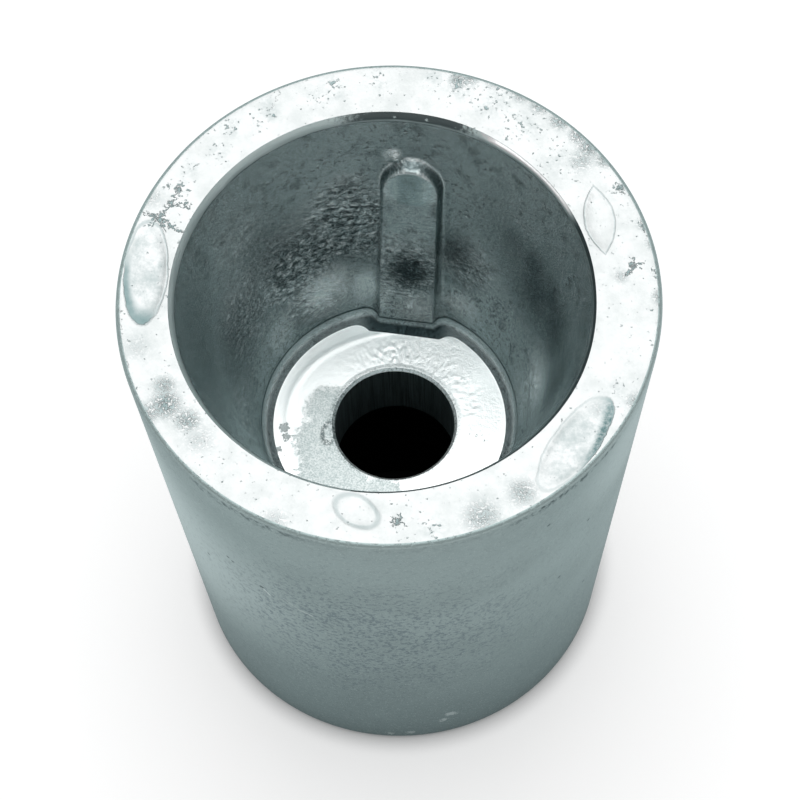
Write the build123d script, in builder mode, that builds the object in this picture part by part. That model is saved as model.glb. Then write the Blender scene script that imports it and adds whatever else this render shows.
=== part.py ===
from build123d import *
from math import atan, cos, degrees, radians, sin, tan
import os

# A cast zinc nose cone that shields a propeller nut, in millimetres.
# The origin is the centre of the narrow nose face, +Z runs to the open wide end,
# and the rib on the pocket wall lies on the +Y side.

# Outer body
body_height = 64.0
open_end_d = 56.0
nose_d = 45.0
rim_edge_chamfer = 0.3
nose_edge_radius = 1.2

# Conical pocket: a core forms it, and in this casting the core sits a little to the -X side
pocket_mouth_d = 43.4
pocket_floor_d = 27.0
pocket_depth = 28.8
pocket_floor_fillet = 1.2
core_shift = 0.55
core_overlap = 3.0

# Chamfer round the mouth of the pocket
mouth_chamfer_d = 44.1
mouth_chamfer_depth = 1.0

# Rib on the pocket wall that keys into the nut
rib_height = 1.7
rib_face_width = 5.9
rib_end_below_rim = 9.7
rib_side_draft = 15.0
rib_root_fillet = 1.2
rib_edge_radius = 0.3

# Hole for the fixing bolt, and the counterbore that takes the bolt's head in from the nose
bolt_hole_d = 13.0
bolt_hole_length = 8.8
bolt_hole_chamfer = 0.3
head_counterbore_d = 22.0
counterbore_mouth_chamfer = 0.6

# Shallow marks that the mould leaves on the rim, each one an oval: angle from +Y seen from
# above, distance from the axis, length, width, and turn away from the rim's own direction
rim_mark_depth = 0.15
rim_marks = [
    (-91.0, 25.1, 12.0, 4.5, 5.0),
    (123.0, 25.0, 12.0, 4.5, 8.0),
    (59.0, 23.5, 8.2, 3.2, -15.0),
    (179.0, 24.1, 5.3, 3.4, -27.0),
]

wall_slope = (pocket_mouth_d - pocket_floor_d) / 2 / pocket_depth
wall_angle = degrees(atan(wall_slope))
floor_height = body_height - pocket_depth
counterbore_depth = floor_height - bolt_hole_length

# Directions along the pocket wall and square to it, at the rib
wall_up = Vector(0, sin(radians(wall_angle)), cos(radians(wall_angle)))
wall_out = Vector(0, cos(radians(wall_angle)), -sin(radians(wall_angle)))
rib_end = Vector(0, pocket_mouth_d / 2, 0) - wall_up * rib_end_below_rim - wall_out * rib_height

# Groove that casts the rib: a flat parallel to the wall, two drafted sides and a round end.
# It is drawn in the core's own frame, which has the rim plane at Z = 0.
with BuildPart() as rib_groove:
    groove_depth = 3 * rib_height
    groove_half_width = rib_face_width / 2 + groove_depth * tan(radians(rib_side_draft))
    with BuildSketch(Plane(origin=rib_end, x_dir=(-1, 0, 0), z_dir=-wall_up)):
        with BuildLine():
            Polyline(
                (-rib_face_width / 2, 0),
                (rib_face_width / 2, 0),
                (groove_half_width, groove_depth),
                (-groove_half_width, groove_depth),
                close=True,
            )
        make_face()
    extrude(amount=pocket_depth)
    with Locations(Plane(origin=rib_end, x_dir=(1, 0, 0), z_dir=wall_out)):
        Cone(
            rib_face_width / 2,
            groove_half_width,
            groove_depth,
            align=(Align.CENTER, Align.CENTER, Align.MIN),
        )

# Core that casts the pocket
with BuildPart() as pocket_core:
    with BuildSketch(Plane.XZ):
        with BuildLine():
            Polyline(
                (0, -pocket_depth),
                (pocket_floor_d / 2, -pocket_depth),
                (pocket_mouth_d / 2 + core_overlap * wall_slope, core_overlap),
                (0, core_overlap),
                close=True,
            )
        make_face()
    revolve(axis=Axis.Z)
    add(rib_groove.part, mode=Mode.SUBTRACT)

    def rib_face():
        planes = pocket_core.faces().filter_by(GeomType.PLANE)
        return planes.filter_by(lambda face: 0.1 < abs(face.normal_at().Z) < 0.9)[0]

    # Round the root of the rib, then the edges of its flat, then the foot of pocket and rib in one
    upright_edges = pocket_core.edges().filter_by_position(Axis.Z, -0.9 * pocket_depth, -1)
    rib_edges = upright_edges.filter_by_position(Axis.Y, pocket_floor_d / 4, pocket_mouth_d)
    long_edges = rib_edges.sort_by(SortBy.LENGTH)[-6:]
    fillet([edge for edge in long_edges if edge not in rib_face().edges()], rib_root_fillet)
    fillet(rib_face().edges().sort_by(SortBy.LENGTH)[-3:], rib_edge_radius)
    fillet(pocket_core.faces().sort_by(Axis.Z)[0].edges(), pocket_floor_fillet)

with BuildPart() as anode_casting:
    # Tapered outside with its rounded nose edge and the broken edge of its faced rim
    with BuildSketch(Plane.XZ):
        with BuildLine():
            Polyline(
                (0, 0),
                (nose_d / 2, 0),
                (open_end_d / 2, body_height),
                (0, body_height),
                close=True,
            )
        make_face()
    revolve(axis=Axis.Z)
    fillet(anode_casting.edges().filter_by(GeomType.CIRCLE).sort_by(Axis.Z)[0], nose_edge_radius)
    chamfer(anode_casting.edges().filter_by(GeomType.CIRCLE).sort_by(Axis.Z)[-1], rim_edge_chamfer)

    # Pocket, and the chamfer round its mouth
    with Locations((-core_shift, 0, body_height)):
        add(pocket_core.part, mode=Mode.SUBTRACT)
        Cone(
            pocket_mouth_d / 2 - mouth_chamfer_depth * wall_slope,
            mouth_chamfer_d / 2,
            mouth_chamfer_depth,
            align=(Align.CENTER, Align.CENTER, Align.MAX),
            mode=Mode.SUBTRACT,
        )

    # Bolt hole through the pocket floor, with its upper edge broken
    with BuildSketch(Plane.XY.offset(floor_height)):
        Circle(bolt_hole_d / 2)
    extrude(amount=-floor_height, mode=Mode.SUBTRACT)
    hole_edges = anode_casting.edges().filter_by(
        lambda edge: edge.geom_type == GeomType.CIRCLE and abs(edge.radius - bolt_hole_d / 2) < 0.01
    )
    chamfer(hole_edges.sort_by(Axis.Z)[-1], bolt_hole_chamfer)

    # Counterbore from the nose, with its mouth chamfered
    with BuildSketch(Plane.XY):
        Circle(head_counterbore_d / 2)
    extrude(amount=counterbore_depth, mode=Mode.SUBTRACT)
    nose_inner_edge = anode_casting.faces().sort_by(Axis.Z)[0].inner_wires()[0].edges()
    chamfer(nose_inner_edge, counterbore_mouth_chamfer)

    # Marks on the rim
    with BuildSketch(Plane.XY.offset(body_height)):
        for angle, distance, length, width, turn in rim_marks:
            with Locations((distance * sin(radians(angle)), distance * cos(radians(angle)))):
                Ellipse(length / 2, width / 2, rotation=turn - angle)
    extrude(amount=-rim_mark_depth, mode=Mode.SUBTRACT)

anode_casting.part.label = "anode_casting"
os.makedirs("parts", exist_ok=True)
export_step(anode_casting.part, "parts/anode_casting.step")
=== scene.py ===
import functools
import math

import bmesh
import bpy
from mathutils import Euler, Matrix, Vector, noise


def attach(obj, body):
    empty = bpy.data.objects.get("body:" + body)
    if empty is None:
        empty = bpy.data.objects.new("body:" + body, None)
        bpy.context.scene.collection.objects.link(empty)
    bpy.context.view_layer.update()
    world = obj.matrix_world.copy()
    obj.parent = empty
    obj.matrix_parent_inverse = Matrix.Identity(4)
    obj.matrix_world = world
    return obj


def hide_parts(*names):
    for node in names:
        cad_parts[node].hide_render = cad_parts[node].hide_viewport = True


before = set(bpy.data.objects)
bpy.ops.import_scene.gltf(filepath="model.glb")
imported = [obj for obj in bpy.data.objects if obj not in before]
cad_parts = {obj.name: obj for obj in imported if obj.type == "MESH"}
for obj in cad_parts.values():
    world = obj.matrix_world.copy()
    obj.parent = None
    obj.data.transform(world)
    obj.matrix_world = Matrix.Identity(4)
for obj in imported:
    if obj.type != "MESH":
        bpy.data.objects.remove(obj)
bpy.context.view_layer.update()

# Sizes of the casting in metres, the solid's own but for the rounded edges of rim, nose and rib
MM = 0.001
HEIGHT = 64.0 * MM
OPEN_RADIUS = 28.0 * MM
NOSE_RADIUS = 22.5 * MM
RIM_EDGE = 0.5 * MM
NOSE_EDGE = 1.1 * MM
POCKET_MOUTH_RADIUS = 21.7 * MM
POCKET_FLOOR_RADIUS = 13.5 * MM
POCKET_DEPTH = 28.8 * MM
POCKET_FOOT = 1.2 * MM
CORE_SHIFT = 0.55 * MM
MOUTH_RADIUS = 22.05 * MM
MOUTH_DEPTH = 1.0 * MM
RIB_HEIGHT = 1.7 * MM
RIB_HALF_WIDTH = 2.95 * MM
RIB_END = 9.7 * MM
RIB_DRAFT = math.radians(15.0)
RIB_EDGE = 0.2 * MM
HOLE_RADIUS = 6.5 * MM
HOLE_LENGTH = 8.8 * MM
HOLE_EDGE = 0.3 * MM
HEAD_RADIUS = 11.0 * MM
HEAD_CHAMFER = 0.6 * MM
MARK_DEPTH = 0.15 * MM

FLOOR_HEIGHT = HEIGHT - POCKET_DEPTH
SHOULDER = FLOOR_HEIGHT - HOLE_LENGTH
WALL_SLOPE = (POCKET_MOUTH_RADIUS - POCKET_FLOOR_RADIUS) / POCKET_DEPTH
WALL_ANGLE = math.atan(WALL_SLOPE)
FOOT_INSET = POCKET_FOOT * math.tan(math.radians(45) - WALL_ANGLE / 2)
FOOT_RADIUS = POCKET_FLOOR_RADIUS - FOOT_INSET
FLOOR_INNER_RADIUS = HOLE_RADIUS + HOLE_EDGE
RIM_OUTER_RADIUS = OPEN_RADIUS - RIM_EDGE

# Marks on the rim in millimetres and degrees: angle from +Y seen from above, distance from the axis,
# length, width, turn away from the rim's own direction, and whether the ends are pointed
RIM_MARKS = (
    (-91.0, 25.1, 12.0, 4.5, 5.0, False),
    (123.0, 25.0, 12.0, 4.5, 8.0, False),
    (59.0, 23.5, 8.2, 3.2, -15.0, True),
    (179.0, 24.1, 5.3, 3.4, -27.0, False),
)

# The mesh: its columns, how much they crowd towards the rib, the radius at which those along the rib
# are spaced, how near a surface a point counts as on it, and the angle of an edge that stays sharp
COLUMNS = 440
CROWDING = 0.55
WALL_MIDDLE_RADIUS = 17.0 * MM
TOUCHING = 2e-6
SHARP_ANGLE = math.radians(35)

# Heights between which its rows lie closer: the folded part of the wall, and the rib's end
FOLDS_FROM, FOLDS_TO = 40.0 * MM, 59.5 * MM
END_FROM, END_TO = 53.8 * MM, 56.4 * MM

# The surfaces, each with a finish of its own
RIM, CHAMFER, WALL, FLOOR, HOLE, OUTSIDE, NOSE = range(7)


def ease(low, high, value):
    """0 below low and 1 above high, with a smooth step between."""
    share = min(1.0, max(0.0, (value - low) / (high - low)))
    return share * share * (3.0 - 2.0 * share)


def fall(low, high, value):
    """1 below low and 0 above high, with a smooth step between."""
    return 1.0 - ease(low, high, value)


def soft_min(a, b, reach):
    share = min(1.0, max(0.0, 0.5 + 0.5 * (b - a) / reach))
    return b + (a - b) * share - reach * share * (1.0 - share)


def ripple(x, y, layer):
    """Smooth noise about 0, different on each layer."""
    return noise.noise(Vector((x, y, layer)))


def wall_radius(z):
    return POCKET_FLOOR_RADIUS + (z - FLOOR_HEIGHT) * WALL_SLOPE


def mark_place(mark, x, y):
    """Place along and across a rim mark, 1 at its ends and sides, and how far out it lies, 1 at the edge.

    x and y are in millimetres, as numbers or as a finish's sockets.
    """
    angle, distance, length, width, turn, pointed = mark
    place, tilt = math.radians(angle), math.radians(turn - angle)
    dx = x - distance * math.sin(place)
    dy = y - distance * math.cos(place)
    along = (dx * math.cos(tilt) + dy * math.sin(tilt)) / (length / 2)
    across = (dy * math.cos(tilt) - dx * math.sin(tilt)) / (width / 2)
    out = abs(across) + along * along if pointed else (along * along + across * across) ** 0.5
    return along, across, out


# Turned shape of the casting

def surface_at(r, z):
    """Which surface a point of the plain turned shape lies on."""
    if z > HEIGHT - TOUCHING and r > MOUTH_RADIUS - TOUCHING:
        return RIM
    if z > HEIGHT - MOUTH_DEPTH + TOUCHING and r < MOUTH_RADIUS:
        return CHAMFER
    if z > FLOOR_HEIGHT + TOUCHING and r < wall_radius(z) + 0.1 * MM:
        return WALL
    if z > FLOOR_HEIGHT - HOLE_EDGE + TOUCHING and r < POCKET_FLOOR_RADIUS:
        return FLOOR
    if z > TOUCHING and r < HEAD_RADIUS + HEAD_CHAMFER:
        return HOLE
    return OUTSIDE if z > TOUCHING else NOSE


def step_at(r, z):
    """Length of the steps along the section, shortest at the rib's end and where the wall is folded."""
    if r < MOUTH_RADIUS and END_FROM < z < END_TO:
        return 0.09 * MM
    if r < MOUTH_RADIUS and FOLDS_FROM < z < FOLDS_TO:
        return 0.22 * MM
    steps = {RIM: 0.4, CHAMFER: 0.25, WALL: 0.4, FLOOR: 0.26, HOLE: 4.0, OUTSIDE: 3.6, NOSE: 4.0}
    return steps[surface_at(r, z)] * MM


def rounded_section():
    """The section with its three rounded corners, cut into short steps and ready to spin."""
    bm = bmesh.new()
    floor_corner = (POCKET_FLOOR_RADIUS, FLOOR_HEIGHT)
    rim_corner = (OPEN_RADIUS, HEIGHT)
    nose_corner = (NOSE_RADIUS, 0.0)
    corners = [
        (HOLE_RADIUS, SHOULDER),
        (HOLE_RADIUS, FLOOR_HEIGHT - HOLE_EDGE),
        (FLOOR_INNER_RADIUS, FLOOR_HEIGHT),
        floor_corner,
        *((wall_radius(z), z) for z in (FOLDS_FROM, END_FROM, END_TO, FOLDS_TO)),
        (POCKET_MOUTH_RADIUS - MOUTH_DEPTH * WALL_SLOPE, HEIGHT - MOUTH_DEPTH),
        (MOUTH_RADIUS, HEIGHT),
        rim_corner,
        nose_corner,
        (HEAD_RADIUS + HEAD_CHAMFER, 0.0),
        (HEAD_RADIUS, HEAD_CHAMFER),
        (HEAD_RADIUS, SHOULDER),
    ]
    ring = [bm.verts.new((r, 0.0, z)) for r, z in corners]
    for first, second in zip(ring, ring[1:] + ring[:1]):
        bm.edges.new((first, second))
    for corner, inset, pieces in (
        (floor_corner, FOOT_INSET, 7), (rim_corner, RIM_EDGE, 4), (nose_corner, NOSE_EDGE, 6),
    ):
        bmesh.ops.bevel(
            bm, geom=[ring[corners.index(corner)]], offset=inset, offset_type="OFFSET", segments=pieces,
            profile=0.5, affect="VERTICES", material=-1,
        )
    for edge in list(bm.edges):
        middle = (edge.verts[0].co + edge.verts[1].co) / 2
        cuts = round(edge.calc_length() / step_at(middle.x, middle.z)) - 1
        if cuts > 0:
            bmesh.ops.subdivide_edges(bm, edges=[edge], cuts=cuts)
    return bm


def spun_casting():
    """The section spun round the axis, each face with its surface and each sharp edge marked."""
    bm = rounded_section()
    bmesh.ops.spin(
        bm, geom=bm.verts[:] + bm.edges[:], cent=(0, 0, 0), axis=(0, 0, 1), dvec=(0, 0, 0),
        angle=math.tau, steps=COLUMNS, use_merge=True, use_duplicate=False,
    )
    bmesh.ops.remove_doubles(bm, verts=bm.verts[:], dist=1e-7)
    bmesh.ops.recalc_face_normals(bm, faces=bm.faces[:])
    for face in bm.faces:
        middle = face.calc_center_median()
        r = math.hypot(middle.x, middle.y) / math.cos(math.pi / COLUMNS)
        face.material_index = surface_at(r, middle.z)
        face.smooth = True
    for edge in bm.edges:
        beside = {face.material_index for face in edge.link_faces}
        edge.smooth = beside != {WALL, CHAMFER} and edge.calc_face_angle() < SHARP_ANGLE
    return bm


# The rib, the core's shift and the relief, as moves of the turned shape's vertices

def rib_root(z):
    """Radius of the rib's root, which grows towards the pocket floor."""
    height = (z - FLOOR_HEIGHT) / MM
    return (0.5 + 0.5 * fall(8, 20, height) + 0.8 * fall(0, 7, height) + 1.2 * fall(0, 1.8, height)) * MM


def rib_rise(away, top, root):
    """Height of the rib: away is the distance past the edge of its flat, root the root's radius."""
    beyond = away - top * math.tan(RIB_DRAFT)
    inside = root * math.tan(math.radians(45) - RIB_DRAFT / 2) - beyond
    if inside <= 0:
        return 0.0
    if inside < root * math.cos(RIB_DRAFT):
        rise = root - math.sqrt(root * root - inside * inside)
    else:
        rise = -beyond / math.tan(RIB_DRAFT)
    return soft_min(rise, top, RIB_EDGE)


def pocket_point(r, z, turn):
    """Where a point of the turned pocket goes, and the rib's rise there; columns run along the rib."""
    x, y = r * math.sin(turn), r * math.cos(turn)
    if y < 0 or abs(turn) > 0.8:
        return x, y, z, 0.0
    straight = WALL_MIDDLE_RADIUS * math.sin(turn)
    x += (straight - x) * fall(4.5 * MM, 9.0 * MM, abs(straight)) * fall(59 * MM, 62.5 * MM, z)
    y = math.sqrt(r * r - x * x)
    foot = max(0.0, wall_radius(z) - r)
    cone = r + foot
    sink = (cone - math.sqrt(cone * cone - x * x)) * math.cos(WALL_ANGLE)
    past_end = max(0.0, RIB_END - (HEIGHT - z) / math.cos(WALL_ANGLE))
    away = math.hypot(max(0.0, abs(x) - 0.8 * foot), past_end) - RIB_HALF_WIDTH
    rise = rib_rise(away, max(0.05 * MM, RIB_HEIGHT - sink), rib_root(z))
    level = fall(40 * MM, 47 * MM, z)
    y -= rise * (math.cos(WALL_ANGLE) + level * math.sin(WALL_ANGLE) * WALL_SLOPE)
    return x, y, z + (1 - level) * rise * math.sin(WALL_ANGLE), rise


# Small domes on the pocket wall: angle in degrees, then height, radius and rise in millimetres
DOMES = ((-6.3, 58.2, 1.15, 0.6), (6.5, 57.4, 1.5, 0.12), (-3.6, 57.9, 0.6, 0.14), (-9.6, 57.2, 0.5, 0.10))


def domes(turn, z):
    """How far the domes stand in here, in millimetres."""
    stands = 0.0
    for angle, height, radius, rise in DOMES:
        across = (turn - math.radians(angle)) * wall_radius(z)
        stands += rise * fall(0.0, 1.0, math.hypot(across, z - height * MM) / (radius * MM))
    return stands


def laps(across, up):
    """Laps of metal that froze as the mould filled: height from 0 to 1, and the painted shade along the edge
    below each.
    """
    level = up * 1.05 + 2.1 * ripple(across * 0.3, up * 0.42, 1) + 0.75 * ripple(across * 0.95, up * 1.1, 2)
    lap = level - math.floor(level)
    height = lap / 0.16 if lap < 0.16 else (1 - lap) / 0.84
    broken = ease(-0.12, 0.12, ripple(across * 0.9, up * 1.2, 6))
    return height * (0.35 + 0.65 * broken), fall(0.0, 0.3, min(lap, abs(1 - lap) * 3)) * broken


def wall_relief(turn, z, folded):
    """How far the cast wall stands in from the plain cone, in metres, and the painted shade along the laps'
    lower edges.
    """
    across, up = turn * WALL_MIDDLE_RADIUS / MM, z / MM
    fade = ease(36.2, 38.0, up) * fall(60.5, 62.5, up)
    slant = up - abs(across) * 0.12
    height, edge = laps(across, slant)
    lumps = ripple(across * 1.5, slant * 1.7, 7)
    broad = 0.06 * ripple(across * 0.14, up * 0.16, 5)
    stands = broad + folded * (height * 0.19 + lumps * 0.10) + 0.025 * lumps + 0.015 * height
    return (fade * stands + domes(turn, z)) * MM, fade * edge * folded


def floor_relief(x, y):
    """How far the pocket floor stands up, in metres: dimples beyond the hole, a low ring near its edge."""
    r = math.hypot(x, y) / MM
    angle = math.degrees(math.atan2(x, y))
    x, y = x / MM, y / MM
    fade = ease(6.9, 7.6, r) * fall(11.4, 12.3, r)
    dimpled = fall(35, 95, abs(angle - 30)) * fall(8.4, 11.0, r)
    dimples = ripple(x * 1.9, y * 1.9, 2) * 0.05 + ripple(x * 3.0, y * 3.0, 4) * 0.03
    ring_gap = abs(r - 11.4 - 0.35 * math.sin(angle / 17))
    ring = 0.04 * fall(0.0, 0.5, ring_gap) * ease(20, 60, abs(angle - 60))
    return (fade * (dimpled * dimples + 0.006 * ripple(x * 0.4, y * 0.4, 9)) + ring) * MM


def rim_mark_depth(x, y):
    return MARK_DEPTH * max(fall(0.6, 1.04, mark_place(mark, x / MM, y / MM)[2]) for mark in RIM_MARKS)


def mouth_pull(turn, z):
    """How far the mouth's upper edge comes in on the side where the faced rim has spread over it."""
    side = fall(18, 52, abs(math.degrees(turn) - 60))
    return 0.3 * MM * side * max(0.0, (z - HEIGHT + MOUTH_DEPTH) / MOUTH_DEPTH)


# Soft spots on the pocket wall, in millimetres: x, y, z, reach, strength
FOLDED = (
    (-7.5, 16.0, 48.5, 9.0, 1.4), (-12.0, 12.0, 46.5, 8.5, 1.4), (-1.0, 15.5, 43.0, 5.0, 1.3),
    (6.0, 15.0, 45.0, 5.0, 0.9), (-17.0, 5.0, 47.0, 8.0, 0.9), (-10.0, 11.0, 40.5, 6.0, 1.2),
    (-7.6, 17.4, 53.5, 4.0, 0.9), (4.5, 13.5, 38.5, 3.5, 0.5), (0.5, 14.6, 39.5, 4.0, 0.8),
    (-17.5, 9.0, 54.5, 7.0, 0.4), (16.0, 4.0, 42.0, 6.0, 0.4), (-16.0, -3.0, 42.0, 7.0, 0.4),
)
RIB_ROUGH = ((-0.5, 15.0, 43.8, 6.5, 1.3), (0.5, 13.8, 38.5, 4.0, 0.7))
# Painted shade: darker places on the pocket wall, standing in for the dark reflections in it
PAINTED_SHADE = (
    (-14.5, 11.0, 50.0, 9.0, 0.6), (-18.0, 2.0, 46.5, 10.0, 0.7), (-9.5, 14.0, 46.0, 7.0, 0.4),
    (-19.5, -4.0, 54.0, 10.0, 0.4), (4.5, 15.8, 46.5, 5.0, 0.8), (9.5, 15.3, 53.0, 8.0, 0.3),
    (11.5, 12.8, 51.0, 8.0, 0.5), (14.0, 10.0, 50.0, 9.0, 0.8), (17.0, 6.0, 50.5, 8.0, 0.8),
    (18.0, -1.0, 50.5, 8.0, 0.7), (-0.3, 15.9, 43.4, 4.8, 1.6), (14.0, -4.0, 42.0, 9.0, 0.4),
    (11.0, 14.6, 52.6, 4.5, 0.6), (13.6, 12.0, 52.2, 5.0, 0.8), (15.8, 8.6, 52.2, 5.0, 0.8),
)
# Painted highlights: lighter places on the pocket wall, standing in for reflections of light
PAINTED_HIGHLIGHTS = (
    (-9.2, 12.4, 40.4, 5.6, 1.3), (-5.0, 14.0, 39.5, 4.6, 1.1), (15.4, 2.6, 44.2, 5.5, 1.0),
    (5.5, 13.5, 38.8, 3.5, 0.8), (0.6, 14.0, 37.6, 4.4, 1.2), (-2.8, 19.8, 58.4, 1.4, 1.8),
    (13.5, 3.5, 38.5, 5.0, 0.7), (-12.5, 6.5, 39.5, 4.0, 0.6),
)

# Soft spots on the rim, in millimetres: x, y, reach, strength
PITTED = (
    (-19.3, 17.7, 1.8, 1.0), (-16.7, 18.9, 1.7, 1.0), (-15.5, 20.0, 1.8, 1.0), (-16.3, 21.3, 1.6, 0.8),
    (-9.6, 24.4, 1.7, 1.2), (-11.0, 22.5, 1.8, 0.9), (-9.1, 23.1, 1.4, 0.8), (-20.0, 14.8, 1.6, 0.9),
    (-22.7, 12.3, 1.6, 0.9), (-23.3, 9.7, 2.0, 1.1), (-4.9, 25.4, 2.0, 0.8), (1.0, 26.5, 2.2, 0.8),
    (3.5, 25.6, 1.9, 1.3), (6.4, 26.7, 1.2, 0.9), (8.2, 25.4, 3.4, 0.8), (6.9, 24.4, 3.0, 0.8),
    (10.6, 22.0, 3.6, 0.8), (15.0, 18.5, 3.8, 0.6), (22.0, 16.2, 1.6, 1.2), (26.7, 6.6, 1.1, 1.3),
    (24.4, -7.1, 1.4, 0.8), (25.4, -9.5, 1.6, 0.8), (13.0, -23.5, 2.2, 0.8), (8.2, -25.0, 2.0, 0.9),
    (-25.6, -8.0, 2.2, 0.4),
)
SOILED = (
    (3.4, 26.6, 1.6, 1.0), (4.6, 27.2, 1.6, 0.9), (10.1, 25.9, 1.8, 0.8), (12.3, 24.8, 1.8, 0.9),
    (14.6, 23.3, 1.8, 1.0), (16.8, 21.8, 1.8, 1.0), (18.0, 20.6, 2.0, 1.0), (17.4, 18.8, 2.2, 0.6),
    (19.8, 19.2, 1.6, 0.8), (7.2, 27.0, 1.6, 0.6), (24.8, 12.2, 1.2, 0.9), (26.0, 10.0, 1.2, 0.8),
    (27.4, 4.0, 1.4, 0.8), (23.2, 5.8, 1.3, 0.6), (-26.0, 8.2, 2.2, 0.4), (16.5, -19.8, 2.6, 0.7),
    (12.8, -23.0, 3.2, 0.7), (-7.5, -26.4, 2.4, 0.5), (26.2, -8.2, 1.6, 0.6), (23.0, -9.5, 2.2, 0.5),
    (-24.6, -9.0, 2.6, 0.35), (-16.4, -18.5, 2.8, 0.4), (-21.0, -13.0, 2.0, 0.8),
    (-20.5, -15.0, 2.6, 1.1), (-18.0, -16.5, 2.2, 0.9), (-22.0, -16.2, 2.0, 0.8),
)


def spots(places, *point):
    """Strength at a point, given in metres, of the strongest of several soft spots."""
    most = 0.0
    for *place, reach, strength in places:
        gap = math.dist(point, [length * MM for length in place]) / (reach * MM)
        if gap < 1:
            most = max(most, strength * fall(0.0, 1.0, gap))
    return most


def wall_place(r, z, turn):
    """A point of the pocket wall, how rough the wall is there, and how much painted shade and painted
    highlight it takes.
    """
    x, y, z, rise = pocket_point(r, z, turn)
    x -= CORE_SHIFT
    share = rise / RIB_HEIGHT
    on_rib = ease(0.3, 0.7, share)
    rough = min(1.0, spots(FOLDED, x, y, z) * (1 - on_rib) + spots(RIB_ROUGH, x, y, z) * on_rib)
    stands, lap_edge = wall_relief(turn, z, rough)
    rib_side = ease(0.02, 0.1, share) * fall(0.8, 0.95, share)
    smooth_end = ease(51 * MM, 54 * MM, z) * ease(0.02, 0.1, share)
    stands *= 1 - 0.85 * max(rib_side, smooth_end)
    at_end = ease(53.2 * MM, 54.8 * MM, z)
    above_root = ease(0.05, 0.14, share)
    # Painted shade: the darker places, the edge below each lap, the rib's sides, and the slope at the rib's
    # end
    soil_and_shade = max(
        min(1.0, spots(PAINTED_SHADE, x, y, z)),
        lap_edge * 0.9 * (1 - rib_side),
        above_root * fall(0.35, 0.85, share) * 0.45 * (1 - at_end),
        above_root * fall(0.7, 0.86, share) * 0.75 * at_end,
    )
    # Painted highlights: the lighter places, a line along the rib's root, and a line along the edge of its
    # flat at the rib's end
    painted_highlight = max(
        spots(PAINTED_HIGHLIGHTS, x, y, z),
        ease(0.002, 0.015, share) * fall(0.04, 0.08, share) * (0.35 + at_end * 0.65),
        ease(0.84, 0.9, share) * fall(0.96, 0.99, share) * at_end * 0.55,
    )
    return (x - stands * math.sin(turn), y - stands * math.cos(turn), z), (rough, soil_and_shade, painted_highlight)


def chamfer_place(r, z, turn):
    """A point of the mouth's chamfer, whose upper part has worn nearly flat on one side."""
    pull = mouth_pull(turn, z)
    worn = ease(17, 25, math.degrees(turn)) * fall(50, 60, math.degrees(turn))
    if z > HEIGHT - 0.9 * MOUTH_DEPTH:
        z += (HEIGHT - z) * 0.85 * worn
    return (r - pull) * math.sin(turn) - CORE_SHIFT, (r - pull) * math.cos(turn), z


def floor_place(r, z, turn):
    """A point of the pocket floor, whose outer part follows the foot of the wall and of the rib."""
    share = max(0.0, (r - FLOOR_INNER_RADIUS) / (FOOT_RADIUS - FLOOR_INNER_RADIUS))
    foot_x, foot_y, _, _ = pocket_point(FOOT_RADIUS, FLOOR_HEIGHT, turn)
    x = r * math.sin(turn) + (foot_x - CORE_SHIFT - FOOT_RADIUS * math.sin(turn)) * share
    y = r * math.cos(turn) + (foot_y - FOOT_RADIUS * math.cos(turn)) * share
    if r > FLOOR_INNER_RADIUS + 0.01 * MM:
        z += floor_relief(x, y)
    return x, y, z


def rim_place(r, z, turn):
    """A point of the rim, whose inner edge follows the pocket's mouth."""
    shift = CORE_SHIFT * max(0.0, (RIM_OUTER_RADIUS - r) / (RIM_OUTER_RADIUS - MOUTH_RADIUS))
    r -= mouth_pull(turn, z) * fall(0.0, 2.5 * MM, r - MOUTH_RADIUS)
    x, y = r * math.sin(turn) - shift, r * math.cos(turn)
    return x, y, z - rim_mark_depth(x, y)


def shape(bm):
    """Move the turned shape's vertices to the casting's own, and mark its rough places, the rim's soil and
    the wall's painted shade and painted highlights.
    """
    layers = [bm.verts.layers.float.new(name) for name in ("rough", "soil_and_shade", "painted_highlight")]
    for v in bm.verts:
        r = math.hypot(v.co.x, v.co.y)
        z = v.co.z
        turn = math.atan2(v.co.x, v.co.y)
        turn -= CROWDING * math.sin(turn)
        surface = surface_at(r, z)
        marks = (0.0, 0.0, 0.0)
        if surface == WALL:
            v.co, marks = wall_place(r, z, turn)
        elif surface == CHAMFER:
            v.co = chamfer_place(r, z, turn)
        elif surface == FLOOR:
            v.co = floor_place(r, z, turn)
        elif surface == RIM:
            v.co = rim_place(r, z, turn)
            marks = (spots(PITTED, v.co.x, v.co.y), spots(SOILED, v.co.x, v.co.y), 0.0)
        else:
            v.co = (r * math.sin(turn), r * math.cos(turn), z)
        for layer, mark in zip(layers, marks):
            v[layer] = mark


# Finishes, in which every length is in millimetres and every height is from the nose face

RIM_LEVEL = HEIGHT / MM
FLOOR_LEVEL = FLOOR_HEIGHT / MM
MOUTH_FOOT_LEVEL = (HEIGHT - MOUTH_DEPTH) / MM
WRAP_RADIUS = 20.0
EDGE_TINT = (0.75, 0.86, 0.87, 1)
WHITE = (1.0, 1.0, 1.0)
NEAR_BLACK = (0.05, 0.075, 0.08)


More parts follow.
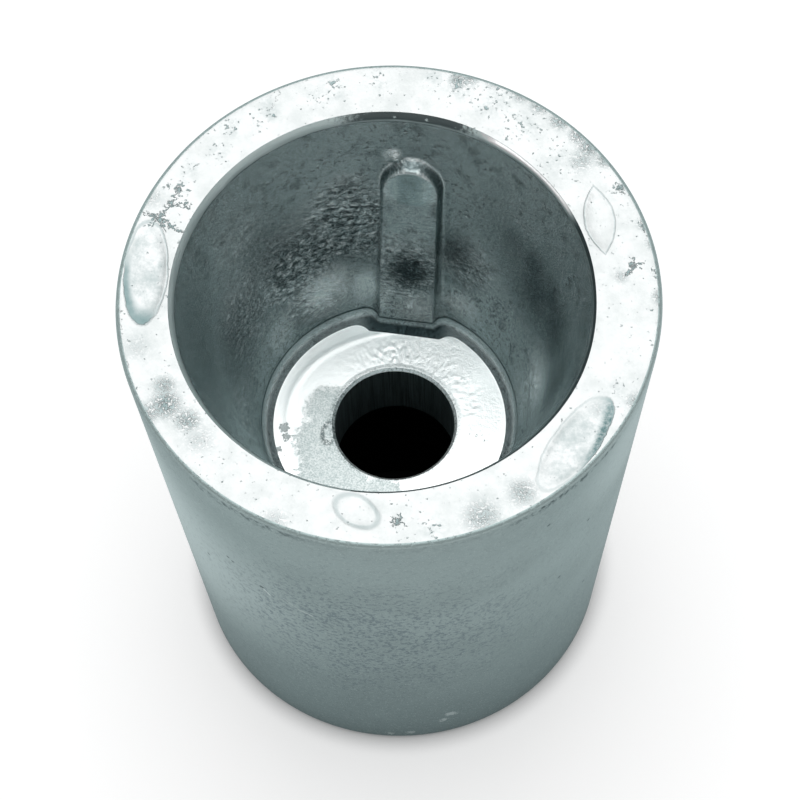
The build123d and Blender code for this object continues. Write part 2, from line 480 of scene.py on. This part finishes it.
class Socket:
    """A node's output that takes part in Python arithmetic."""

    def __init__(self, finish, output):
        self.finish = finish
        self.output = output

    def maths(self, operation, first, second=0.0):
        in_vectors = self.output.type == "VECTOR" or isinstance(second, tuple)
        kind = "ShaderNodeVectorMath" if in_vectors else "ShaderNodeMath"
        return self.finish.node(kind, {"operation": operation}, {0: first, 1: second})

    def __add__(self, other):
        return self.maths("ADD", self, other)

    __radd__ = __add__

    def __sub__(self, other):
        return self.maths("SUBTRACT", self, other)

    def __rsub__(self, other):
        return self.maths("SUBTRACT", other, self)

    def __mul__(self, other):
        return self.maths("MULTIPLY", self, other)

    __rmul__ = __mul__

    def __truediv__(self, other):
        return self.maths("DIVIDE", self, other)

    def __pow__(self, other):
        return self.maths("POWER", self, other)

    def __abs__(self):
        return self.maths("ABSOLUTE", self)

    def larger(self, other):
        return self.maths("MAXIMUM", self, other)

    def over(self, low, high):
        """0 below low and 1 above high, with a smooth step between."""
        inputs = {"Value": self, "From Min": low, "From Max": high}
        return self.finish.node("ShaderNodeMapRange", {"interpolation_type": "SMOOTHSTEP"}, inputs)

    def under(self, low, high):
        """1 below low and 0 above high, with a smooth step between."""
        return 1 - self.over(low, high)

    def about(self, value, low, high):
        """1 where it is nearer than low to a value, and 0 where it is further than high."""
        return abs(self - value).under(low, high)

    def length(self):
        return self.finish.node("ShaderNodeVectorMath", {"operation": "LENGTH"}, {0: self}, 1)


def strongest(*shares):
    """The largest of several sockets."""
    return functools.reduce(Socket.larger, shares)


def turn_at(x, y):
    """Angle of a place round the axis in radians, 0 on the rib's side."""
    return x.maths("ARCTAN2", x, y)


class Finish:
    """A material being made; node() adds any node with its settings and its inputs."""

    def __init__(self, name):
        self.material = bpy.data.materials.new(name)
        self.material.use_nodes = True
        self.tree = self.material.node_tree
        self.tree.nodes.clear()
        metres = self.node("ShaderNodeTexCoord", output="Object")
        self.place = self.node("ShaderNodeVectorMath", {"operation": "SCALE"}, {0: metres, "Scale": 1 / MM})

    def node(self, kind, settings=None, inputs=None, output=0):
        node = self.tree.nodes.new(kind)
        for name, value in (settings or {}).items():
            setattr(node, name, value)
        for name, value in (inputs or {}).items():
            if isinstance(value, Socket):
                self.tree.links.new(value.output, node.inputs[name])
            else:
                node.inputs[name].default_value = value
        return Socket(self, node.outputs[output]) if node.outputs else None

    def across(self, axis):
        """One coordinate of the place."""
        return self.node("ShaderNodeSeparateXYZ", None, {0: self.place}, axis)

    def wrapped(self):
        """Place round the axis, up it and out from it, for grain that runs round the casting."""
        x, y, z = self.across("X"), self.across("Y"), self.across("Z")
        out = (x * x + y * y) ** 0.5
        return self.node("ShaderNodeCombineXYZ", None, {0: turn_at(x, y) * WRAP_RADIUS, 1: z, 2: out})

    def grain(self, scale, detail=4.0, roughness=0.5, distortion=0.0, place=None, stretch=(1, 1, 1)):
        """Noise from 0 to 1 about 0.5, its scale in waves per millimetre."""
        place = self.node("ShaderNodeMapping", None, {0: place or self.place, "Scale": stretch})
        inputs = {
            "Vector": place, "Scale": scale, "Detail": detail, "Roughness": roughness,
            "Distortion": distortion,
        }
        return self.node("ShaderNodeTexNoise", None, inputs)

    def coated(self, colour, *coats):
        """A colour under coats of others, in order, each given as the share that it covers and its colour."""
        for share, coat in coats:
            under = (*colour, 1) if isinstance(colour, tuple) else colour
            colour = self.node("ShaderNodeMix", {"data_type": "RGBA"}, {0: share, 6: under, 7: (*coat, 1)}, 2)
        return colour

    def near(self, x, y, z, reach):
        """1 at a point, falling to 0 at the reach."""
        gap = self.node("ShaderNodeVectorMath", {"operation": "DISTANCE"}, {0: self.place, 1: (x, y, z)}, 1)
        return gap.under(0.0, reach)

    def from_line(self, start, end, place=None):
        """Distance from a straight line between two points."""
        along = Vector(end) - Vector(start)
        past = (place or self.place) - start
        share = self.node("ShaderNodeVectorMath", {"operation": "DOT_PRODUCT"}, {0: past, 1: tuple(along)}, 1)
        share = self.node("ShaderNodeClamp", None, {0: share / along.length_squared})
        foot = self.node("ShaderNodeVectorMath", {"operation": "SCALE"}, {0: tuple(along), "Scale": share})
        return self.node("ShaderNodeVectorMath", {"operation": "DISTANCE"}, {0: past, 1: foot}, 1)

    def marked(self, name):
        """One mark on the casting's vertices here: roughness, soil and painted shade, or painted highlight.
        """
        return self.node("ShaderNodeAttribute", {"attribute_name": name}, None, "Fac")

    def metal(self, colour, roughness, metallic, relief):
        """Bare metal whose relief, in millimetres, is only in its shading."""
        normal = self.node("ShaderNodeBump", None, {"Distance": MM, "Height": relief})
        inputs = {
            "Base Color": colour, "Roughness": roughness, "Metallic": metallic,
            "Specular Tint": EDGE_TINT, "Normal": normal,
        }
        return self.ends_in(self.node("ShaderNodeBsdfPrincipled", None, inputs))

    def ends_in(self, surface):
        self.node("ShaderNodeOutputMaterial", None, {0: surface})
        return self.material


# Strokes of the star-shaped cracks on the rim, and of its fine scratches: start, end, width
CRACKS = (
    ((-26.7, 6.5), (-24.8, 6.1), 0.24), ((-26.4, 6.4), (-24.2, 5.9), 0.26), ((-25.6, 5.3), (-24.7, 6.1), 0.2),
    ((-24.8, 6.1), (-22.3, 4.7), 0.26), ((-24.2, 5.9), (-23.1, 5.2), 0.22),
    ((-24.6, 5.6), (-23.9, 4.5), 0.22), ((-24.8, 6.2), (-24.0, 8.0), 0.26),
    ((-24.0, 8.0), (-23.4, 10.2), 0.18), ((-23.9, 7.8), (-21.9, 7.9), 0.18),
    ((-24.6, 9.4), (-24.7, 10.3), 0.16), ((24.3, 7.3), (25.0, 7.4), 0.2), ((24.1, 8.0), (24.3, 7.2), 0.18),
    ((24.3, 7.3), (23.6, 5.7), 0.24), ((21.3, 16.5), (22.1, 15.4), 0.14), ((21.5, 16.0), (22.1, 16.2), 0.14),
    ((24.4, 12.3), (25.3, 10.9), 0.18), ((26.3, 7.2), (26.6, 6.4), 0.14), ((5.4, -24.9), (3.9, -24.4), 0.16),
    ((4.9, -23.9), (4.4, -25.3), 0.16), ((4.0, -25.1), (5.0, -24.2), 0.16),
)
HAIRLINES = (
    ((-27.0, -5.0), (-26.4, -8.4), 0.07), ((-26.4, -8.4), (-24.9, -12.2), 0.07),
    ((-15.6, 20.4), (-14.9, 22.6), 0.06),
)

# Blots where the cracks meet: x, y, reach
BLOTS = (
    (-24.8, 6.0, 1.5), (-24.0, 7.9, 1.1), (-23.4, 9.7, 0.9), (24.1, 7.2, 1.1), (4.6, -24.6, 1.0),
    (21.8, 16.1, 0.9),
)


def rim_finish():
    f = Finish("faced zinc rim")
    clouds = f.grain(0.4, 6, 0.62)
    fine = f.grain(2.7, 6, 0.68)
    blobs = f.grain(2.3, 2, 0.5)
    grit = f.grain(4.2, 3, 0.6)
    pitted = f.marked("rough")
    pits = (blobs + pitted * 0.14 + (fine - 0.5) * 0.25).over(0.66, 0.82)
    haze = pitted * (fine * 0.5 + clouds * 0.5).over(0.4, 0.62) * 0.3
    soil = f.marked("soil_and_shade") * (grit * 0.5 + fine * 0.5).over(0.43, 0.53)

    # Cracks and scratches, drawn on a place that noise bends so that they run unevenly
    waves = {"Vector": f.place, "Scale": 1.5, "Detail": 3.0, "Roughness": 0.6}
    bend = f.node("ShaderNodeTexNoise", None, waves, "Color") - (0.5, 0.5, 0.5)
    bent = f.place * (1, 1, 0) + bend * (2.4, 2.4, 0)
    drawn = [
        f.from_line((*start, 0), (*end, 0), bent).under(0.25 * width, 0.85 * width) * share
        for strokes, share in ((CRACKS, 0.9), (HAIRLINES, 0.5))
        for start, end, width in strokes
    ]
    blots = strongest(*(f.near(x, y, RIM_LEVEL, reach) for x, y, reach in BLOTS))
    blots = (blots * 0.42 + fine * 0.9).over(0.76, 0.88)
    cracks = (strongest(*drawn) * (fine + grit * 0.5).over(0.6, 0.78)).larger(blots * 0.85)

    # The mould's marks: painted shade on one side of two of them, a painted dark line of shade along the edge
    # of each, and a tone inside two
    wobble = (clouds - 0.5) * 0.25 + (fine - 0.5) * 0.06
    places = [mark_place(mark, f.across("X"), f.across("Y")) for mark in RIM_MARKS]
    left, right, lens, front = [out + wobble for _, _, out in places]
    along, across, _ = places[0]
    low_left = (across * 0.6 - along * 0.8).over(-0.1, 0.75)
    along, across, _ = places[1]
    top_right = (across * 0.8 - along * 0.55).over(0.25, 0.85)
    shaded = strongest(
        low_left * left.over(0.5, 0.9) * left.under(0.98, 1.03) * (0.7 + clouds * 0.7),
        top_right * right.over(0.4, 0.85) * right.under(0.97, 1.02) * (fine * 2.4 - 0.2),
    )
    line = strongest(
        left.about(0.99, 0.01, 0.07) * 0.45,
        right.about(0.99, 0.01, 0.07) * (0.3 + top_right * 0.6),
        lens.about(0.98, 0.01, 0.10) * (0.25 + clouds * 0.3),
        front.about(0.9, 0.03, 0.2) * 0.4,
    )
    inside = strongest(left.under(0.8, 1.0), right.under(0.8, 1.0))
    inside = inside * (clouds * 0.6 + fine * 0.4).over(0.36, 0.62) * 0.42

    dark = strongest(pits * 0.85, cracks, haze, soil * 0.8, line, shaded * 0.95, inside)
    colour = f.coated(
        (0.63, 0.65, 0.65),
        (clouds.over(0.35, 0.75), (0.53, 0.56, 0.558)),
        (dark * 0.85, (0.125, 0.215, 0.22)),
    )
    return f.metal(colour, 0.33 + fine * 0.1, 1.0, fine * 0.02 + clouds * 0.03 - dark * 0.04)


def chamfer_finish():
    f = Finish("zinc mouth chamfer")
    x, y, z = f.across("X"), f.across("Y"), f.across("Z")
    turn = turn_at(x + CORE_SHIFT / MM, y)
    streaks = f.grain(1.0, 5, 0.6, 0.0, f.wrapped(), (0.3, 2.2, 1))
    ragged = f.grain(2.4, 4, 0.6)
    edge = (ragged - 0.5) * 0.3

    # Round the mouth, lighter towards its top: black painted shadow above the rib, with two nicks, then a
    # white painted highlight with a grey painted line at its upper edge, then dark painted shade with small
    # white painted glints, and a dark painted line along the foot
    nicks = f.near(-2.6, 21.4, 63.6, 0.55).larger(f.near(0.7, 21.5, 63.6, 0.5))
    nicks = (nicks * 0.5 + ragged).over(0.7, 0.85)
    black = (turn + edge).over(-0.42, -0.24) * (turn + edge).under(0.2, 0.32)
    black = black * (z + streaks * 0.3).over(63.2, 63.45) * (1 - nicks)
    white = (turn + edge).over(0.3, 0.4) * (turn + edge * 0.4).under(0.9, 1.02) * z.over(63.5, 63.75)
    dark = turn.over(0.92, 1.04) * (z + edge * 0.5).over(63.15, 63.35)
    dots = (ragged + (f.grain(0.7, 2) - 0.5) * 0.3).over(0.68, 0.76) * dark
    colour = f.coated(
        (0.38, 0.47, 0.475),
        ((z - MOUTH_FOOT_LEVEL + streaks * 0.6).over(0.2, 1.2), (0.88, 1.0, 0.99)),
        (black * 0.85, (0.02, 0.035, 0.04)),
        (white, WHITE),
        (white * z.over(63.965, 63.985) * 0.7, (0.2, 0.26, 0.265)),
        (dark * 0.92, NEAR_BLACK),
        (dots * 0.8, WHITE),
        ((z + streaks * 0.2).under(63.1, 63.25) * 0.8, (0.06, 0.085, 0.09)),
    )
    return f.metal(colour, 0.4, 0.75, streaks * 0.06 + ragged * 0.04)


def wall_finish():
    f = Finish("die cast zinc pocket")
    place = f.wrapped()
    z = f.across("Z")
    rough, soil_and_shade, painted_highlight = f.marked("rough"), f.marked("soil_and_shade"), f.marked("painted_highlight")
    folds = f.grain(1.6, 5, 0.68, 0.5, place, (0.7, 1.3, 1))
    fine = f.grain(3.2, 5, 0.7, 0.2, place, (0.8, 1.1, 1))
    clouds = f.grain(0.55, 4, 0.6, 0.0, place)
    calm = f.near(-0.5, 18.4, 55.6, 4.2).over(0.05, 0.45)
    flecks = f.grain(2.6, 3, 0.62, 0.4, place, (0.75, 0.95, 1)) + (f.grain(0.3, 2) - 0.5) * 0.3
    flecks = flecks.over(0.58, 0.68) * (1 - calm)
    # Small specks that stand up, each with a painted glint on it
    specks = f.node("ShaderNodeTexVoronoi", None, {"Vector": f.place, "Scale": 1.5}).under(0.06, 0.2)
    specks = specks * f.near(-13.5, 6.0, 42, 9).over(0.1, 0.6)
    relief = rough * folds + fine * (0.16 + rough * 0.2) * (1 - calm * 0.9) + specks * 0.15 - flecks * 0.1

    # The fillet at the foot of the wall with a painted highlight, between a strip of painted shade in the
    # corner below and a painted dark line above
    by_rib = f.near(-0.5, 12.5, 36, 8).over(0.2, 0.6)
    foot = z.under(36.15, 36.3)
    strip = (z - by_rib * 0.25).under(35.3, 35.65) * (0.8 + by_rib * 0.2)
    line = z.about(36.35, 0.04, 0.2) * (0.55 + clouds * 0.6)

    # Painted shade, mixed with darker flecks and clouds of tone: the marked darker places and the dark side
    # of the folds' lumps
    shade = strongest(
        soil_and_shade,
        flecks * 0.55,
        (clouds - 0.5).over(0.0, 0.2) * 0.45,
        (0.5 - folds).over(-0.01, 0.08) * rough * 0.9,
    )
    shade = shade * (fine * 1.8 + 0.1) * (1 - painted_highlight * 0.8)
    # Painted highlights, mixed with a lighter fine grain: the marked lighter places, the lit side of the
    # folds' lumps, and the fillet at the foot
    light = strongest(
        painted_highlight,
        (folds - 0.5).over(0.02, 0.11) * rough,
        foot * (0.7 - by_rib * 0.5),
        (0.5 - fine).over(0.02, 0.2) * (1 - calm) * 0.3,
    )
    colour = f.coated(
        (0.50, 0.585, 0.59),
        (light, (0.93, 1.0, 1.0)),
        (strongest(shade * (1 - foot), strip, line), NEAR_BLACK),
        (specks * 0.6, (0.95, 1.0, 1.0)),
    )
    return f.metal(colour, 0.12 + fine * 0.06 - rough * 0.07, 0.95, relief)


# Sandy places on the pocket floor: x, y, reach
SANDY = ((-7.4, 1.0, 4.6), (-7.2, -3.5, 6.2), (-5.5, -7.5, 7.4), (-0.5, -9.5, 5.6))


def floor_finish():
    f = Finish("die cast zinc floor")
    clouds = f.grain(0.5, 5, 0.6)
    fine = f.grain(2.6, 6, 0.7)
    grit = f.grain(5.0, 3, 0.6)

    def at(x, y, reach):
        return f.near(x, y, FLOOR_LEVEL, reach)

    rough = at(3.5, 8.5, 8.5).over(0.1, 0.8).larger(at(9.0, 2.0, 6.0).over(0.1, 0.8) * 0.8)
    sandy = strongest(*(at(*place) for place in SANDY))
    sandy = (sandy + (clouds - 0.5) * 0.4 + (fine - 0.5) * 0.8).over(0.34, 0.60)
    sand = sandy * (0.3 + (grit * 0.6 + fine * 0.4).over(0.38, 0.62) * 0.7)
    pits = (fine + rough * 0.06 + at(9.8, -0.5, 3.0) * 0.1 + at(-11.6, -6.0, 2.2) * 0.14).over(0.70, 0.80)
    burnt = strongest(at(-11.7, -2.1, 1.5), at(-11.3, -3.2, 1.3), at(-12.0, -4.8, 1.1) * 0.9)
    burnt = (burnt * 0.5 + fine * 0.8 + (grit - 0.5) * 0.4).over(0.72, 0.86)
    lip = (f.place - (0, 0, FLOOR_LEVEL)).length().under(6.85, 7.35)

    # A ragged ring of metal beside the hole, drawn as a dark line of painted shade along its edge
    out = ((f.place - (-6.9, -2.1, FLOOR_LEVEL)) * (1.3, 0.75, 1.0)).length() + (fine - 0.5) * 0.9
    burr = out.about(0.9, 0.05, 0.45) * (fine * 0.6 + grit * 0.4).over(0.42, 0.56)

    lip_shade = lip * (fine * 0.5 + grit * 0.5).over(0.47, 0.6)
    dark = strongest(pits * 0.8, burnt * 0.8, burr * 0.95, lip_shade * 0.65)
    colour = f.coated((0.97, 1.0, 0.995), (sand, (0.5, 0.58, 0.575)), (dark * 0.85, (0.12, 0.165, 0.17)))
    relief = fine * (0.015 + rough * 0.05 + sandy * 0.02) + lip * grit * 0.08 - dark * 0.03
    return f.metal(colour, 0.32 + sandy * 0.15, 0.8, relief)


def hole_finish():
    f = Finish("zinc bore in painted shade")
    place = f.wrapped()
    z = f.across("Z")
    streaks = f.grain(1.0, 4, 0.6, 0.0, place, (2.6, 0.12, 1))
    rings = f.grain(1.0, 3, 0.5, 0.0, place, (0.05, 1.6, 1))
    above_shoulder = z.over(26.3, 26.5)
    # The counterbore is painted near black, as painted shade deep in the hole; the bore above its shoulder is
    # lighter, with streaks
    colour = f.coated(
        (0.1, 0.13, 0.13),
        (z.over(0.0, 0.4), (0.02, 0.028, 0.03)),
        (above_shoulder * (0.45 + streaks.over(0.35, 0.65) * 0.55), (0.26, 0.33, 0.34)),
    )
    return f.metal(colour, 0.4 + streaks * 0.15, 0.85, streaks * 0.05 + rings * 0.04)


# Dark spots and chips on the outside: x, y, z, reach
SPOTS = (
    (-16.9, -19.5, 38.4, 0.45), (-14.0, -22.3, 44.6, 0.4), (-13.5, -22.6, 44.2, 0.35),
    (-10.3, -24.0, 41.8, 0.5), (22.7, -13.7, 46.4, 0.4), (20.1, -15.9, 35.9, 0.4),
    (22.2, -10.5, 23.6, 0.4), (19.2, -19.5, 56.4, 0.4),
)
CHIPPED = ((9.0, -21.3, 6.8, 1.7), (2.1, -22.6, 1.9, 1.2), (8.2, -21.5, 5.2, 1.4), (4.5, -22.3, 2.2, 1.2))

# Strokes of the scratch on the outside: start, end, width
SCRATCHES = (
    ((-7.9, -24.8, 41.6), (-6.3, -25.1, 39.9), 0.11), ((-6.3, -25.1, 39.9), (-4.8, -25.4, 39.2), 0.13),
    ((-10.1, -24.0, 41.4), (-9.5, -24.2, 40.4), 0.17),
)


def outside_finish():
    f = Finish("satin zinc outside")
    place = f.wrapped()
    z = f.across("Z")
    clouds = f.grain(0.09, 4, 0.6)
    fine = f.grain(2.4, 6, 0.66, 0.2, place, (1.0, 0.5, 1))
    grit = f.grain(5.5, 2, 0.6)
    patches = f.grain(0.3, 3, 0.6, 0.0, place, (1.0, 0.5, 1))
    facing = f.near(0.5, -24.5, 34, 33).over(0.1, 0.9)
    flecks = f.grain(2.9, 4, 0.62, 0.3, place, (0.9, 0.65, 1))
    flecks = (flecks + facing * 0.06 + (patches - 0.5) * 0.16).over(0.53, 0.67)
    # Painted shade darker towards the bottom, and painted reflections lighter at the left and right sides
    low = z.under(-4.0, 44.0)
    left = f.near(-24.0, -10.0, 36, 36).over(0.1, 0.9)
    right = f.near(26.5, -6.0, 56, 18).over(0.1, 0.9)

    # A dark collar just below the rim, stronger in two places
    collar_strength = f.near(21.0, -17.5, 63.2, 11.0).over(0.1, 0.6)
    collar_strength = collar_strength.larger(f.near(-11.0, -25.0, 63.2, 10.0).over(0.1, 0.6) * 0.8)
    collar = (z + (fine - 0.5) * 3).over(61.9, 63.2) * z.under(63.35, 63.5)
    collar = collar * (0.15 + collar_strength * 0.85) * (fine * 0.6 + patches * 0.4).over(0.45, 0.58)

    dots = strongest(*(f.near(*spot).over(0.2, 0.6) for spot in SPOTS))
    scratch = strongest(
        *(f.from_line(start, end).under(width * 0.3, width) for start, end, width in SCRATCHES)
    )
    chips = strongest(*(f.near(*chip) for chip in CHIPPED))
    chips = (chips * 0.5 + fine * 0.9 + (grit - 0.5) * 0.5).over(0.76, 0.92)
    colour = f.coated(
        (0.285, 0.345, 0.345),
        (clouds.over(0.35, 0.65), (0.255, 0.31, 0.31)),
        (left.larger(right * 0.6), (0.47, 0.54, 0.54)),
        (low * (0.72 - left * 0.3), (0.09, 0.125, 0.13)),
        (flecks * (0.12 + facing * 0.45), (0.07, 0.10, 0.13)),
        ((grit - 0.5).over(0.06, 0.2) * 0.35, (0.5, 0.57, 0.56)),
        (collar * 0.9, (0.04, 0.06, 0.065)),
        # painted highlight on the rounded edge at the top
        (z.over(63.5, 63.95) * 0.75, (0.46, 0.57, 0.565)),
        (dots * 0.85, (0.05, 0.07, 0.075)),
        (scratch * 0.6, (0.7, 0.76, 0.75)),
        (chips * 0.35, (0.72, 0.78, 0.78)),
    )
    relief = fine * 0.03 + flecks * 0.03 + f.grain(0.35, 3, 0.5) * 0.06 - scratch * 0.05
    return f.metal(colour, 0.42 + fine * 0.1, 0.95, relief)


def nose_finish():
    f = Finish("satin zinc nose face")
    fine = f.grain(2.0, 6, 0.62)
    colour = f.coated((0.32, 0.38, 0.38), (fine.over(0.3, 0.7), (0.24, 0.29, 0.29)))
    return f.metal(colour, 0.42 + fine * 0.1, 0.95, fine * 0.02)


def placed(name, bm):
    """A piece of a name, made of a shape and put in the scene."""
    mesh = bpy.data.meshes.new(name)
    bm.to_mesh(mesh)
    bm.free()
    piece = bpy.data.objects.new(name, mesh)
    bpy.context.collection.objects.link(piece)
    return piece


def casting():
    bm = spun_casting()
    shape(bm)
    piece = placed("anode_surface", bm)
    finishes = {
        RIM: rim_finish, CHAMFER: chamfer_finish, WALL: wall_finish, FLOOR: floor_finish,
        HOLE: hole_finish, OUTSIDE: outside_finish, NOSE: nose_finish,
    }
    for surface in sorted(finishes):
        piece.data.materials.append(finishes[surface]())
    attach(piece, "root")
    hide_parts("anode_casting")


# Studio

def studio_floor():
    """A white floor that glows for the camera, with a painted shadow, near black and without glow, under the
    casting, where it shows through the bore.
    """
    bm = bmesh.new()
    bmesh.ops.create_grid(bm, x_segments=1, y_segments=1, size=2.0)
    piece = placed("studio_floor", bm)
    f = Finish("white studio floor")
    rays = ("Is Camera Ray", "Is Glossy Ray", "Is Transmission Ray")
    seen = strongest(*(f.node("ShaderNodeLightPath", output=ray) for ray in rays))
    from_axis = f.place.length()
    matt = f.coated((0.02, 0.02, 0.02), (from_axis.over(12.0, 20.0), (0.8, 0.8, 0.8)))
    matt = f.node("ShaderNodeBsdfDiffuse", None, {"Color": matt})
    glow = f.node("ShaderNodeEmission", None, {"Strength": seen * from_axis.over(21.0, 25.0) * 0.45})
    piece.data.materials.append(f.ends_in(f.node("ShaderNodeAddShader", None, {0: matt, 1: glow})))


def lamp(name, place, aim, size, power):
    data = bpy.data.lights.new(name, "AREA")
    data.shape = "RECTANGLE"
    data.size, data.size_y = size
    data.energy = power
    lamp_object = bpy.data.objects.new(name, data)
    lamp_object.location = place
    lamp_object.rotation_euler = (Vector(aim) - Vector(place)).to_track_quat("-Z", "Y").to_euler()
    bpy.context.collection.objects.link(lamp_object)


def studio():
    world = bpy.data.worlds.new("studio")
    world.use_nodes = True
    bpy.context.scene.world = world
    background = world.node_tree.nodes["Background"]
    background.inputs["Color"].default_value = (1, 1, 1, 1)
    background.inputs["Strength"].default_value = 0.45
    lamp("overhead softbox", (-0.05, 0.26, 0.96), (0, 0, 0.05), (0.9, 1.3), 5.4)


def camera():
    data = bpy.data.cameras.new("photo_camera")
    data.lens = 185.07
    data.sensor_width = 36.0
    camera_object = bpy.data.objects.new("photo_camera", data)
    camera_object.location = (0.037662, -0.193752, 0.434731)
    camera_object.rotation_euler = Euler([math.radians(angle) for angle in (26.5901, 1.1385, 8.5235)])
    bpy.context.collection.objects.link(camera_object)
    bpy.context.scene.camera = camera_object


camera()
studio()
studio_floor()
casting()
bpy.context.scene.view_settings.view_transform = "Standard"
